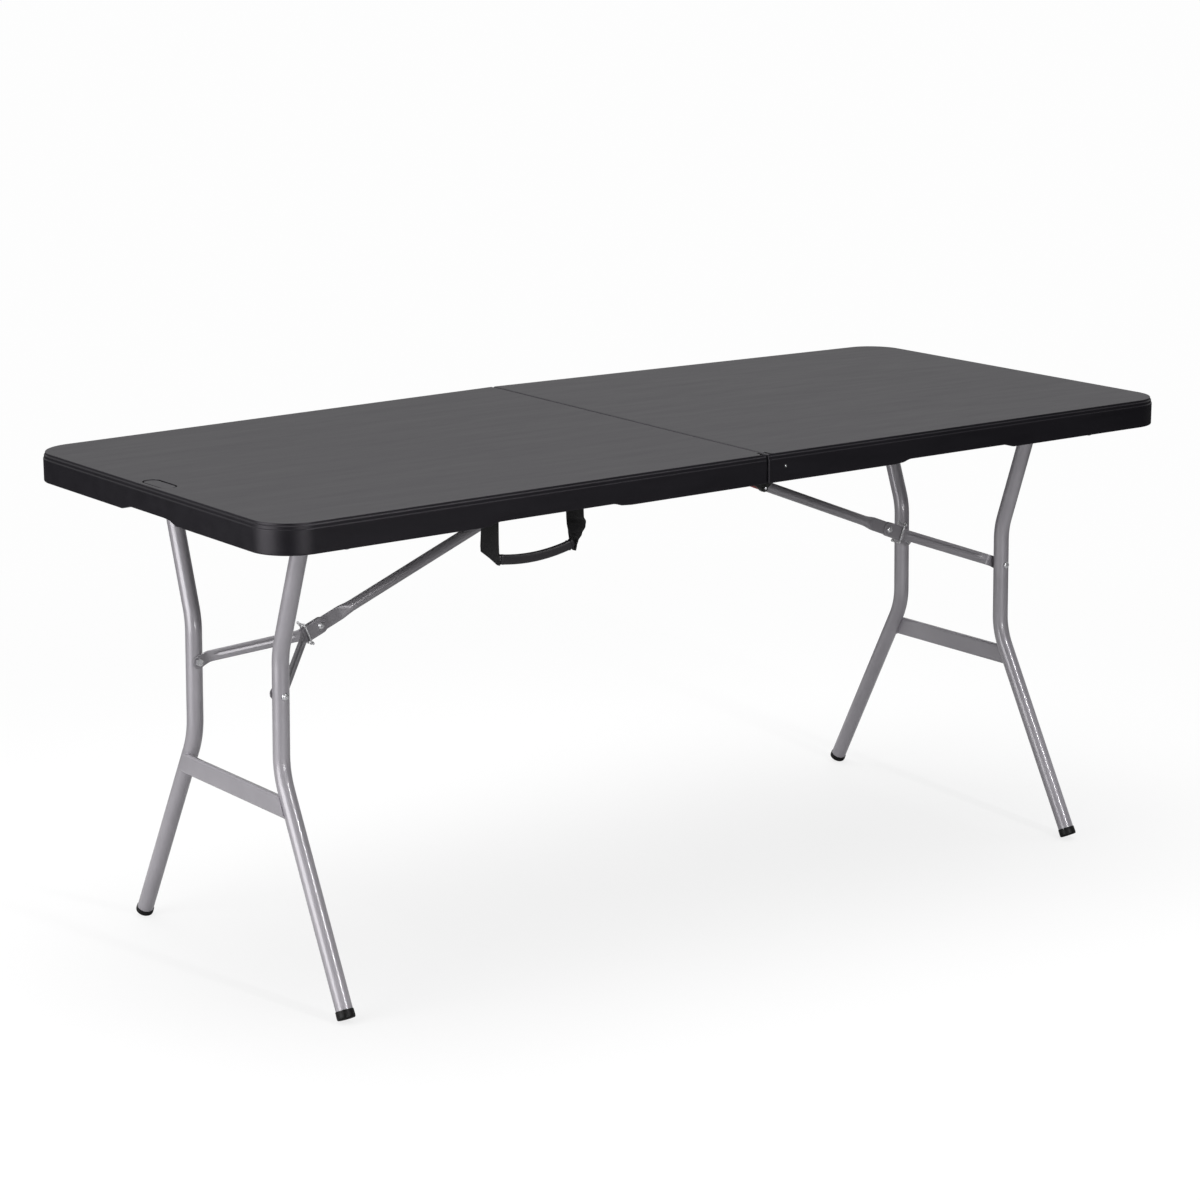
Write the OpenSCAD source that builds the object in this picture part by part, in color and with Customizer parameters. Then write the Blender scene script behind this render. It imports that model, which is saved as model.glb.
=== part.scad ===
/* [Table top] */
// Length of the open table
table_length = 1680; // [1500:10:1900]
// Depth of the table, front to rear
table_depth = 712; // [680:2:800]
// Height of the top surface above the floor
table_height = 740; // [720:1:760]
// Depth of the rim that hangs round the top
rim_depth = 44; // [40:1:50]
// Thickness of the hollow panel inside the rim
panel_thickness = 17; // [15:1:18]
// Width of the rim, seen from below
rim_width = 30; // [26:1:32]
// Plan radius of the four outer corners
corner_radius = 62; // [50:1:80]
// Wall of the blow-moulded plastic
shell_wall = 3; // [2:0.5:4]

/* [Legs] */
// Outside diameter of the leg tube
leg_tube_d = 25; // [22:0.5:26]
// Wall of the leg tube
leg_tube_wall = 1.2; // [1:0.1:2]
// Distance from the seam to the leg plane, at the rim's lower edge
leg_station = 696; // [690:1:700]
// Outward lean of the leg plane, in degrees
leg_lean = 1; // [0.5:0.25:2]
// Half spread of the tubes at the rim's lower edge
spread_top = 192; // [180:1:210]
// Half spread of the tubes at the waist
spread_waist = 124; // [118:1:130]
// Half spread of the feet
spread_foot = 297; // [280:1:299]
// Height of the upper bend
upper_bend_z = 502; // [490:1:520]
// Height of the lower bend
lower_bend_z = 325; // [310:1:340]
// Centre-line radius of the bends
bend_radius = 110; // [80:5:140]
// Height of the crossbar's middle
crossbar_z = 281; // [270:1:290]

/* [Brace] */
// Outside diameter of the brace link tube
link_tube_d = 17; // [15:0.5:18]
// Height of the pivot where the arms meet the leg
arm_pivot_z = 440; // [436:1:446]
// Length of the arms from leg pivot to knee, along the locked brace
arm_reach = 153.7; // [150:0.1:156]
// Distance of the upper link pivot from the seam
link_pivot_x = 12; // [11:0.5:14]
// Height of the upper link pivot
link_pivot_z = 713; // [712:0.5:713]

/* [Handle] */
// Distance of the handle's outer strap from the seam
handle_outer_x = 480; // [470:1:490]
// Distance of the handle's inner strap from the seam
handle_inner_x = 334; // [324:1:344]
// Width of the webbing
webbing_width = 38; // [34:1:40]

/* [Hidden] */
$fn = 48;

gap = 0.3;
fit = 0.05;
over = 5;
slice = 0.2;
spare = 1;
half_length = table_length / 2;
half_depth = table_depth / 2;
rim_z = table_height - rim_depth;
under_z = table_height - panel_thickness;
seam_gap = 0.4;
seam_corner = 2;
edge_r = 3;
inner_y = half_depth - rim_width;
recess_corner = 34;
scoop_depth = 6;
side_scoop_x = 381;
side_scoop_len = 218;
end_scoop_y = -10;
end_scoop_len = 136;
cavity_z = rim_z + scoop_depth + shell_wall;
vent_r = 4;
vent_x = [200, 520];
vent_y = 180;
plaque_x = 816;
plaque_y = -2;
plaque_half = 36;
plaque_r = 14;
plaque_depth = 0.8;
ring_pocket_x0 = 562;
ring_pocket_x1 = 596;
ring_pocket_y = 14;
ring_pocket_h = 6.5;

hinge_z = rim_z - 6;
hinge_pin_r = 3;
hinge_head_r = 4.5;
hinge_head_t = 2.5;
hinge_nut_r = 5.5;
hinge_nut_t = 3;
lug_r = 6;
leaf_t = 3;
leaf_y = half_depth - 7;
leaf_gap = 0.4;
leaf_nut_y = leaf_gap + 2 * leaf_t - leaf_y + gap;
leaf_x0 = seam_gap + 3;
leaf_len = 52;
leaf_web = 16;
leaf_flange_y = inner_y - 11;
pocket_clear = 0.5;
pocket_y = leaf_y + hinge_head_t + pocket_clear;
pocket_len = leaf_len + 2;
pocket_h = under_z - rim_z + over;
lug_angle = 60;
lug_step = 10;
lug_drop = 2;
plate_t = 2;

rail_y = inner_y - 2;
rail_x0 = 64;
rail_flange = 20;
rail_lip = 5;
rail_drop = 25;

pivot_x = leg_station + 8;
pivot_z = rim_z + 3;
pivot_tube_r = 10;
pivot_tube_out = 2;
bush_r = 11.2;
bush_flange_r = 13;
bush_flange_t = 3;
ear_y = inner_y - 10;
ear_t = 3;
ear_rim = 2.3;
ear_half = 18;
ear_flange = 14;
rail_past_ear = 4;
rail_x1 = pivot_x + ear_half + rail_past_ear;

tube_r = leg_tube_d / 2;
tube_ir = tube_r - leg_tube_wall;
bend_swell = 0.1;
bend_lap = 2;
cap_r = tube_r + 1.5;
cap_length = 16;
cap_floor = 5;
top_slope = (spread_top - spread_waist) / (rim_z - upper_bend_z);
foot_slope = (spread_foot - spread_waist) / lower_bend_z;
leg_top_past = 5;
leg_top_z = pivot_z + leg_top_past;
below_floor = 30;
smooth_fn = 120;
round_fn = 32;
hex_fn = 6;
crossbar_h = 31;
crossbar_in = 5.2;
crossbar_out = 14.8;
crossbar_wall = 1.2;
crossbar_cope = 4;

arm_pivot_x = leg_station + (rim_z - arm_pivot_z) * tan(leg_lean);
brace_dx = arm_pivot_x - link_pivot_x;
brace_dz = link_pivot_z - arm_pivot_z;
brace_length = sqrt(brace_dx * brace_dx + brace_dz * brace_dz);
brace_angle = atan2(brace_dz, brace_dx);
link_reach = brace_length - arm_reach;

link_r = link_tube_d / 2;
link_wall = 1.2;
blade_t = 3.6;
blade_h = 22;
blade_end = 24;
blade_back = 40;
blade_corner = blade_h / 4;
neck = 18;
eye_length = 20;
drain_r = 1.5;
link_pin_r = 3;
link_pin_head_r = 5;
link_ear_r = 7;
link_ear_t = 2;
link_ear_y = 2.4;
sleeve_start = 231;
sleeve_length = 75;
sleeve_t = 0.6;
rivet_r = 3.4;
rivet_head_r = 5.5;
rivet_head_t = 2.5;
arm_t = 2;
stem_y = blade_t / 2 + gap;
stem_h = 24;
stem_end = 30;
stem_lap = 6;
arm_h = 18;
arm_end_r = 10;
arm_side_y = spread_waist - tube_r - gap;
arm_flat = 18;
bead_r = 2.4;
bead_start = 16;
bead_length = 118;
bolt_r = 3;
bolt_head_r = 6;
bolt_head_t = 3;
nut_r = 5.8;
nut_t = 4.3;

wire_r = 1.5;
ring_s = 26;
ring_half_h = 16;
ring_half_w = 8.1;
ring_corner = 3.5;
ring_mouth = 2.5;

strap_x = [handle_inner_x, handle_outer_x];
web_t = 2.2;
web_layer = 1.2;
web_front_y = half_depth - 4;
web_rear_y = web_front_y - webbing_width;
web_mid_y = (web_front_y + web_rear_y) / 2;
web_pivot_z = rim_z - 20;
web_knuckle_r = 12;
web_notch = 16;
web_tuck_set = 1;
web_tuck_width = 20;
web_tuck_front = web_front_y - web_tuck_set;
web_tuck_rear = web_tuck_front - web_tuck_width;
web_tuck_mid = (web_tuck_front + web_tuck_rear) / 2;
web_tuck_z = cavity_z + 9;
web_pin_r = 2.5;
tuck_pin_z = cavity_z + web_pin_r + fit;
web_pin_half = 8;
web_loop = web_t / 2 + gap + web_layer;
slot_clear = 0.8;
grip_h = 14;
grip_t = 9;
strap_side = 4;
strap_angle = 40;
grip_z = 650;
grip_sag = 8;
grip_y = half_depth - 8;
grip_half = (handle_outer_x - handle_inner_x - web_t) / 2;
grip_mid_x = (handle_outer_x + handle_inner_x) / 2;
grip_bow = (grip_half * grip_half + grip_sag * grip_sag) / (2 * grip_sag);

screw_r = 1.9;
screw_clear = 0.1;
screw_head_r = 4.5;
screw_head_t = 2.2;
screw_up = 8;
rail_screw_x = [100, 280, 460, 640];
leaf_screw_x = [22, 44];
plate_screw_x = [34, 60];
rail_screw_y = rail_y - 12;
leaf_screw_y = leaf_flange_y + 6;
plate_screw_y = 28;
link_plate_x0 = 2;
link_plate_x1 = 72;
link_plate_half = 40;
link_plate_t = 1.2;
screw_places = concat(
    [for (x = rail_screw_x) for (s = [-1, 1]) [x, s * rail_screw_y]],
    [for (x = leaf_screw_x) for (s = [-1, 1]) [x, s * leaf_screw_y]],
    [for (x = plate_screw_x) for (s = [-1, 1]) [x, s * plate_screw_y]]);

plastic_black = [0.15, 0.15, 0.16];
coat_grey = [0.58, 0.58, 0.60];
zinc = [0.75, 0.75, 0.77];
black_steel = [0.10, 0.10, 0.11];
rubber_black = [0.08, 0.08, 0.09];
web_black = [0.07, 0.07, 0.07];
grip_grey = [0.22, 0.21, 0.23];
sleeve_red = [0.55, 0.10, 0.08];

// Everything is drawn for the right half, front side; the other three places are its mirror images.
module on_left() {
    mirror([1, 0, 0]) children();
}

module on_rear() {
    mirror([0, 1, 0]) children();
}

module front_and_rear() {
    children();
    on_rear() children();
}

// A straight rod along Y, from y0 to y1
module y_rod(x, z, y0, y1, r) {
    translate([x, y0, z]) rotate([-90, 0, 0]) cylinder(h = y1 - y0, r = r);
}

// A flat plate in an X-Z plane: a 2D shape drawn as [x, z], filling y0 to y1
module y_plate(y0, y1) {
    translate([0, y1, 0]) rotate([90, 0, 0]) linear_extrude(y1 - y0) children();
}

// ---- Table top ----
// Plan outline of one half, with rounded outer corners and small seam corners
module half_outline(inset, r) {
    x0 = seam_gap + inset;
    x1 = half_length - inset;
    y1 = half_depth - inset;
    translate([x0, seam_corner - y1]) square([x1 - x0 - r, 2 * (y1 - seam_corner)]);
    translate([x0 + seam_corner, -y1]) square([x1 - x0 - r - seam_corner, 2 * y1]);
    translate([x0 + r, r - y1]) square([x1 - x0 - r, 2 * (y1 - r)]);
    for (s = [-1, 1]) {
        translate([x1 - r, s * (y1 - r)]) circle(r = r);
        translate([x0 + seam_corner, s * (y1 - seam_corner)]) circle(r = seam_corner);
    }
}

// Plan outline of the recess under one half; it runs out through the seam
module recess_outline(grow) {
    x1 = half_length - rim_width + grow;
    y1 = inner_y + grow;
    r = recess_corner + grow;
    translate([-over, -y1]) square([x1 - r + over, 2 * y1]);
    translate([-over, r - y1]) square([x1 + over, 2 * (y1 - r)]);
    for (s = [-1, 1]) translate([x1 - r, s * (y1 - r)]) circle(r = r);
}

// Shallow finger scoop across the rim's lower edge, centred on the origin, along X
module scoop(len) {
    rotate([90, 0, 0]) linear_extrude(2 * rim_width + over, center = true) {
        translate([scoop_depth - len / 2, -over]) square([len - 2 * scoop_depth, scoop_depth + over]);
        for (s = [-1, 1]) translate([s * (len / 2 - scoop_depth), 0]) circle(r = scoop_depth);
    }
}

// Pocket in the rim's inner side that holds the hinge leaves
module hinge_pocket() {
    translate([-over, -pocket_y, rim_z - over])
        cube([pocket_len + over, pocket_y - inner_y + over, pocket_h]);
}

// Waste outside a rounded edge, drawn as [distance from the side, height from the face]
module edge_waste() {
    difference() {
        translate([-edge_r, -edge_r]) square(edge_r + over);
        translate([-edge_r, -edge_r]) circle(r = edge_r);
    }
}

// Waste along the three outer sides and round the two corners of a half
module edge_cutter() {
    x1 = half_length - corner_radius;
    y1 = half_depth - corner_radius;
    translate([-over, -half_depth, 0]) rotate([90, 0, 90])
        linear_extrude(x1 + over) mirror([1, 0]) edge_waste();
    translate([half_length, y1, 0]) rotate([90, 0, 0]) linear_extrude(2 * y1) edge_waste();
    translate([-over, half_depth, 0]) rotate([90, 0, 90]) linear_extrude(x1 + over) edge_waste();
    for (s = [-1, 1]) translate([x1, s * y1, 0]) rotate([0, 0, s < 0 ? -90 : 0])
        rotate_extrude(angle = 90) translate([corner_radius, 0]) edge_waste();
}

// Raised pocket under the panel that the lock ring folds into
module ring_pocket(grow) {
    len = ring_pocket_x1 - ring_pocket_x0 + 2 * grow;
    translate([ring_pocket_x0 - grow, -ring_pocket_y - grow, under_z - over])
        cube([len, 2 * (ring_pocket_y + grow), ring_pocket_h + grow + over]);
}

module top_outside() {
    difference() {
        translate([0, 0, rim_z]) linear_extrude(rim_depth) half_outline(0, corner_radius);
        translate([0, 0, table_height]) edge_cutter();
        translate([0, 0, rim_z]) mirror([0, 0, 1]) edge_cutter();
    }
}

// The air space inside the blow-moulded shell
module top_cavity() {
    inset = shell_wall;
    difference() {
        translate([0, 0, cavity_z]) linear_extrude(table_height - shell_wall - cavity_z)
            half_outline(inset, corner_radius - inset);
        translate([0, 0, rim_z]) linear_extrude(under_z + shell_wall - rim_z) recess_outline(shell_wall);
        front_and_rear() translate([-over, -half_depth, rim_z])
            cube([pocket_len + shell_wall + over, rim_width + shell_wall, under_z + shell_wall - rim_z]);
        ring_pocket(shell_wall);
    }
}

// A hole up through the panel's lower wall into the air space
module wall_hole(x, y, r) {
    translate([x, y, under_z - spare]) cylinder(h = shell_wall + 2 * spare, r = r);
}

module top_half() {
    difference() {
        top_outside();
        top_cavity();
        translate([0, 0, rim_z - over]) linear_extrude(under_z - rim_z + over) recess_outline(0);
        front_and_rear() hinge_pocket();
        ring_pocket(0);
        front_and_rear() translate([side_scoop_x, -half_depth, rim_z]) scoop(side_scoop_len);
        translate([half_length, end_scoop_y, rim_z]) rotate([0, 0, 90]) scoop(end_scoop_len);
        for (p = screw_places) wall_hole(p[0], p[1], screw_r + screw_clear);
        for (x = vent_x) for (s = [-1, 1]) wall_hole(x, s * vent_y, vent_r);
    }
}

module right_top() {
    color(plastic_black) top_half();
}

// Slot up through the rim's lower wall for one strap of the handle
module webbing_slot(x) {
    width = web_tuck_front - web_tuck_rear + 2 * slot_clear;
    translate([-x - web_loop - slot_clear, -web_tuck_front - slot_clear, rim_z - over])
        cube([2 * (web_loop + slot_clear), width, cavity_z - rim_z + 2 * over]);
}

// The left half also has two slots for the handle's webbing and a plain oval recess on top
module left_top() {
    straight = plaque_half - plaque_r;
    color(plastic_black) difference() {
        on_left() top_half();
        for (x = strap_x) webbing_slot(x);
        translate([-plaque_x, plaque_y, table_height - plaque_depth]) linear_extrude(over) {
            for (s = [-1, 1]) translate([0, s * straight]) circle(r = plaque_r);
            translate([-plaque_r, -straight]) square([2 * plaque_r, 2 * straight]);
        }
    }
}

// ---- Rails, hinges and brackets on a half ----
module rail() {
    color(coat_grey) difference() {
        translate([rail_x0, -rail_y, 0]) {
            translate([0, 0, under_z - rail_drop]) cube([rail_x1 - rail_x0, plate_t, rail_drop]);
            translate([0, 0, under_z - plate_t]) cube([rail_x1 - rail_x0, rail_flange, plate_t]);
            translate([0, 0, under_z - rail_drop]) cube([rail_x1 - rail_x0, rail_lip, plate_t]);
        }
        for (x = rail_screw_x) translate([x, -rail_screw_y, under_z - over])
            cylinder(h = 2 * over, r = screw_r + screw_clear);
    }
}

// A leaf: a lug round the hinge pin, an upright plate and a flange under the panel
module hinge_leaf(y0) {
    color(black_steel) difference() {
        union() {
            y_plate(y0, y0 + leaf_t) {
                translate([0, hinge_z]) circle(r = lug_r);
                polygon([[lug_r * cos(lug_angle), hinge_z - lug_r * sin(lug_angle)],
                    [0, hinge_z + lug_r], [leaf_x0, under_z - plate_t],
                    [leaf_len, under_z - plate_t], [leaf_len, under_z - leaf_web],
                    [lug_r + lug_step, hinge_z + lug_r - lug_drop]]);
            }
            translate([leaf_x0, y0, under_z - plate_t])
                cube([leaf_len - leaf_x0, -leaf_flange_y - y0, plate_t]);
        }
        y_rod(0, hinge_z, y0 - spare, y0 + leaf_t + spare, hinge_pin_r + fit);
        for (x = leaf_screw_x) translate([x, -leaf_screw_y, under_z - over])
            cylinder(h = 2 * over, r = screw_r + screw_clear);
    }
}

// Headed pin with a nut, through both leaves
module hinge_pin() {
    color(black_steel) {
        y_rod(0, hinge_z, -leaf_y - hinge_head_t, -leaf_y, hinge_head_r);
        y_rod(0, hinge_z, -leaf_y, leaf_nut_y, hinge_pin_r);
        translate([0, leaf_nut_y, hinge_z]) rotate([-90, 0, 0])
            cylinder(h = hinge_nut_t, r = hinge_nut_r, $fn = hex_fn);
    }
}

// Ear that carries one end of the leg's pivot tube
module pivot_bracket() {
    color(coat_grey) difference() {
        union() {
            y_plate(-ear_y, ear_t - ear_y) {
                translate([pivot_x, pivot_z]) circle(r = bush_r + ear_rim);
                translate([pivot_x - ear_half, pivot_z])
                    square([2 * ear_half, under_z - plate_t - pivot_z]);
            }
            translate([pivot_x - ear_half, -ear_y, under_z - 2 * plate_t])
                cube([2 * ear_half, ear_flange, plate_t]);
        }
        y_rod(pivot_x, pivot_z, -ear_y - spare, ear_t - ear_y + spare, bush_r + fit);
    }
}

// Flanged plastic bushes, one in each ear
module pivot_bushes() {
    inner = ear_t + bush_flange_t - ear_y;
    color(web_black) front_and_rear() difference() {
        union() {
            y_rod(pivot_x, pivot_z, -ear_y, ear_t - ear_y, bush_r);
            y_rod(pivot_x, pivot_z, ear_t - ear_y, inner, bush_flange_r);
        }
        y_rod(pivot_x, pivot_z, -ear_y - spare, inner + spare, pivot_tube_r + fit);
    }
}

// Spreader plate with two ears for the upper end of the brace link
module link_bracket() {
    color(coat_grey) difference() {
        union() {
            translate([link_plate_x0, -link_plate_half, under_z - link_plate_t])
                cube([link_plate_x1 - link_plate_x0, 2 * link_plate_half, link_plate_t]);
            front_and_rear() y_plate(-link_ear_y - link_ear_t, -link_ear_y) {
                translate([link_pivot_x, link_pivot_z]) circle(r = link_ear_r);
                translate([link_pivot_x - link_ear_r, link_pivot_z])
                    square([2 * link_ear_r, under_z - link_plate_t - link_pivot_z]);
            }
        }
        y_rod(link_pivot_x, link_pivot_z, -link_ear_y - over, link_ear_y + over, link_pin_r + fit);
        for (x = plate_screw_x) for (s = [-1, 1]) translate([x, s * plate_screw_y, under_z - over])
            cylinder(h = 2 * over, r = screw_r + screw_clear);
    }
}

module link_pin() {
    end_y = link_ear_y + link_ear_t;
    color(zinc) {
        y_rod(link_pivot_x, link_pivot_z, -end_y, end_y, link_pin_r);
        y_rod(link_pivot_x, link_pivot_z, -end_y - rivet_head_t, -end_y, link_pin_head_r);
        y_rod(link_pivot_x, link_pivot_z, end_y, end_y + rivet_head_t, link_pin_head_r);
    }
}

module screw(x, y, z) {
    translate([x, y, z - screw_head_t]) cylinder(h = screw_head_t, r = screw_head_r);
    translate([x, y, z]) cylinder(h = screw_up, r = screw_r);
}

// Every screw that holds rails, leaves and bracket up to one half
module under_screws() {
    color(zinc) {
        for (x = rail_screw_x) for (s = [-1, 1]) screw(x, s * rail_screw_y, under_z - plate_t);
        for (x = leaf_screw_x) for (s = [-1, 1]) screw(x, s * leaf_screw_y, under_z - plate_t);
        for (x = plate_screw_x) for (s = [-1, 1]) screw(x, s * plate_screw_y, under_z - link_plate_t);
    }
}

// ---- Leg ----
// Places a shape drawn flat, X across the table and Y up the leg, into the leaning leg plane.
// The flat shape's Y is the height above the rim's lower edge.
module in_leg_plane() {
    translate([leg_station, 0, rim_z]) rotate([0, -leg_lean, 0]) rotate([90, 0, 90]) children();
}

// The angle of the turn to the left at b, on the way from a to c
function turn(a, b, c) = let (u = b - a, v = c - b)
    atan2(u[0] * v[1] - u[1] * v[0], u[0] * v[0] + u[1] * v[1]);
function unit(v) = v / norm(v);

// A straight round bar in the flat plane, from a to b, run on past each end by lap
module bar(a, b, r, lap) {
    v = b - a;
    start = a - lap * unit(v);
    translate([start[0], start[1], 0]) rotate([0, 0, atan2(v[1], v[0])]) rotate([0, 90, 0])
        cylinder(h = norm(v) + 2 * lap, r = r);
}

// The round bend between a-b and b-c, a hair fuller than the straights so that they end inside it
module bend(a, b, c, r) {
    t = turn(a, b, c);
    side = t > 0 ? 1 : -1;
    u = unit(b - a);
    start = b - u * bend_radius * tan(abs(t) / 2);
    centre = start + side * bend_radius * [-u[1], u[0]];
    from = atan2(start[1] - centre[1], start[0] - centre[0]);
    translate([centre[0], centre[1], 0]) rotate([0, 0, t > 0 ? from : from + t])
        rotate_extrude(angle = abs(t), $fn = smooth_fn) translate([bend_radius, 0]) circle(r = r + bend_swell);
}

// The whole bent path as a round bar: straight, bend, straight, bend, straight
module bent_bar(r) {
    top = [-(spread_waist + (leg_top_z - upper_bend_z) * top_slope), leg_top_z - rim_z];
    upper = [-spread_waist, upper_bend_z - rim_z];
    lower = [-spread_waist, lower_bend_z - rim_z];
    bottom = [-(spread_foot + below_floor * foot_slope), -rim_z - below_floor];
    t1 = bend_radius * tan(abs(turn(top, upper, lower)) / 2);
    t2 = bend_radius * tan(abs(turn(upper, lower, bottom)) / 2);
    bar(top, upper - t1 * unit(upper - top), r, bend_lap);
    bend(top, upper, lower, r);
    bar(upper - [0, t1], lower + [0, t2], r, bend_lap);
    bend(upper, lower, bottom, r);
    bar(lower + t2 * unit(bottom - lower), bottom, r, bend_lap);
}

module above(z) {
    translate([-over, -half_depth, z]) cube([half_length, 2 * half_depth, table_height]);
}

module leg_tube() {
    color(coat_grey) difference() {
        intersection() {
            in_leg_plane() bent_bar(tube_r);
            above(cap_floor);
        }
        in_leg_plane() bent_bar(tube_ir);
        y_rod(pivot_x, pivot_z, -half_depth, half_depth, pivot_tube_r + fit);
        y_rod(arm_pivot_x, arm_pivot_z, -half_depth, 0, bolt_r + fit);
    }
}

module pivot_tube() {
    end_y = ear_y + pivot_tube_out;
    color(coat_grey) difference() {
        y_rod(pivot_x, pivot_z, -end_y, end_y, pivot_tube_r);
        y_rod(pivot_x, pivot_z, -end_y - spare, end_y + spare, pivot_tube_r - leg_tube_wall);
    }
}

// Flat crossbar on the outer side of the tubes, coped round them
module crossbar() {
    up = crossbar_z - rim_z + crossbar_h / 2;
    down = crossbar_z - rim_z - crossbar_h / 2;
    y_up = spread_waist + (lower_bend_z - rim_z - up) * foot_slope - crossbar_cope;
    y_down = spread_waist + (lower_bend_z - rim_z - down) * foot_slope - crossbar_cope;
    color(coat_grey) difference() {
        in_leg_plane() translate([0, 0, crossbar_in]) linear_extrude(crossbar_out - crossbar_in)
            polygon([[-y_up, up], [y_up, up], [y_down, down], [-y_down, down]]);
        front_and_rear() in_leg_plane() bent_bar(tube_r + fit);
        in_leg_plane() translate([0, crossbar_z - rim_z, (crossbar_in + crossbar_out) / 2])
            cube([4 * spread_waist, crossbar_h - 2 * crossbar_wall,
                crossbar_out - crossbar_in - 2 * crossbar_wall], center = true);
    }
}

// Rubber cap: sleeve round the tube with a flat base on the floor
module foot() {
    lower = [-spread_waist, lower_bend_z - rim_z];
    bottom = [-(spread_foot + below_floor * foot_slope), -rim_z - below_floor];
    start = [-spread_foot, -rim_z] + cap_length * unit(lower - [-spread_foot, -rim_z]);
    color(rubber_black) difference() {
        intersection() {
            in_leg_plane() bar(start, bottom, cap_r, 0);
            above(0);
        }
        intersection() {
            in_leg_plane() bar(lower, bottom, tube_r + fit, 0);
            above(cap_floor - fit);
        }
    }
}

// Bolts through the leg tubes that the brace arms turn on
module arm_bolts() {
    head_y = spread_waist + tube_r;
    color(zinc) front_and_rear() {
        y_rod(arm_pivot_x, arm_pivot_z, -head_y - bolt_head_t, -head_y, bolt_head_r);
        y_rod(arm_pivot_x, arm_pivot_z, -head_y, tube_r - spread_waist, bolt_r);
    }
}

// ---- Brace ----
// Places a shape drawn with X along the locked brace from the upper link pivot, and Z across it
module along_brace() {
    translate([link_pivot_x, 0, link_pivot_z]) rotate([0, brace_angle, 0]) children();
}

module at_knee() {
    along_brace() translate([link_reach, 0, 0]) children();
}

module tube_slice(x) {
    translate([x, 0, 0]) rotate([0, 90, 0]) cylinder(h = slice, r = link_r, $fn = round_fn);
}

module blade_slice(x, h) {
    translate([x, -blade_t / 2, -h / 2]) cube([slice, blade_t, h]);
}

// Tube with an eye at its upper end and a flat blade, drilled for the rivet, at the knee
module brace_link() {
    tube0 = eye_length + neck;
    tube1 = link_reach - blade_back - neck;
    corner_x = link_reach + blade_end - blade_corner;
    color(coat_grey) along_brace() difference() {
        union() {
            y_plate(-blade_t / 2, blade_t / 2) {
                circle(r = link_r);
                translate([0, -link_r]) square([eye_length, 2 * link_r]);
                translate([link_reach - blade_back, -blade_h / 2])
                    square([blade_back + blade_end - blade_corner, blade_h]);
                for (s = [-1, 1]) translate([corner_x, s * (blade_h / 2 - blade_corner)])
                    circle(r = blade_corner);
                translate([corner_x, blade_corner - blade_h / 2])
                    square([blade_corner, blade_h - 2 * blade_corner]);
            }
            hull() {
                blade_slice(eye_length - slice, 2 * link_r);
                tube_slice(tube0);
            }
            translate([tube0, 0, 0]) rotate([0, 90, 0]) cylinder(h = tube1 - tube0, r = link_r);
            hull() {
                tube_slice(tube1 - slice);
                blade_slice(link_reach - blade_back, blade_h);
            }
        }
        translate([tube0 + slice, 0, 0]) rotate([0, 90, 0])
            cylinder(h = tube1 - tube0 - 2 * slice, r = link_r - link_wall);
        translate([tube0 + neck, 0, -link_r - spare]) cylinder(h = link_r, r = drain_r);
        y_rod(0, 0, -over, over, link_pin_r + fit);
        y_rod(link_reach, 0, -over, over, rivet_r + fit);
    }
}

// Plain red plastic sleeve on the right link
module link_sleeve() {
    color(sleeve_red) along_brace() translate([sleeve_start, 0, 0]) rotate([0, 90, 0]) difference() {
        cylinder(h = sleeve_length, r = link_r + sleeve_t);
        translate([0, 0, -spare]) cylinder(h = sleeve_length + 2 * spare, r = link_r + fit);
    }
}

// A flat strip of thickness arm_t that follows points in plan, with round joints
module strip(points) {
    for (i = [0 : len(points) - 2]) {
        v = points[i + 1] - points[i];
        translate(points[i]) rotate([0, 0, atan2(v[1], v[0])])
            translate([0, -arm_t / 2]) square([norm(v), arm_t]);
        translate(points[i + 1]) circle(r = arm_t / 2);
    }
}

// One arm of the Y: tall stem at the knee, spread strip with a pressed bead, round end at the leg
module arm() {
    stem_mid = -stem_y - arm_t / 2;
    side_mid = -arm_side_y + arm_t / 2;
    fork = [stem_end, stem_mid];
    side = [arm_reach - arm_flat, side_mid];
    spread = atan2(side[1] - fork[1], side[0] - fork[0]);
    color(coat_grey) at_knee() difference() {
        union() {
            y_plate(-stem_y - arm_t, -stem_y) {
                circle(r = stem_h / 2);
                translate([0, -stem_h / 2]) square([stem_end - arm_t, stem_h]);
            }
            translate([0, 0, -arm_h / 2]) linear_extrude(arm_h)
                strip([[stem_end - stem_lap, stem_mid], fork, side, [arm_reach, side_mid]]);
            y_plate(-arm_side_y, arm_t - arm_side_y) translate([arm_reach, 0]) circle(r = arm_end_r);
            translate([fork[0], fork[1], 0]) rotate([0, 0, spread]) translate([bead_start, -arm_t / 2, 0])
                rotate([0, 90, 0]) cylinder(h = bead_length, r = bead_r);
        }
        y_rod(0, 0, -stem_y - arm_t - spare, 0, rivet_r + fit);
        y_rod(arm_reach, 0, -arm_side_y - spare, arm_t - arm_side_y + spare, bolt_r + fit);
    }
}

module knee_rivet() {
    end_y = stem_y + arm_t;
    color(zinc) at_knee() {
        y_rod(0, 0, -end_y, end_y, rivet_r);
        y_rod(0, 0, -end_y - rivet_head_t, -end_y, rivet_head_r);
        y_rod(0, 0, end_y, end_y + rivet_head_t, rivet_head_r);
    }
}

// Nuts on the inner side of the arms, with the bolt's end inside each arm
module arm_nuts() {
    color(zinc) at_knee() front_and_rear() {
        y_rod(arm_reach, 0, -arm_side_y, arm_t - arm_side_y, bolt_r);
        translate([arm_reach, arm_t - arm_side_y, 0]) rotate([-90, 0, 0])
            cylinder(h = nut_t, r = nut_r, $fn = hex_fn);
    }
}

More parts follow.
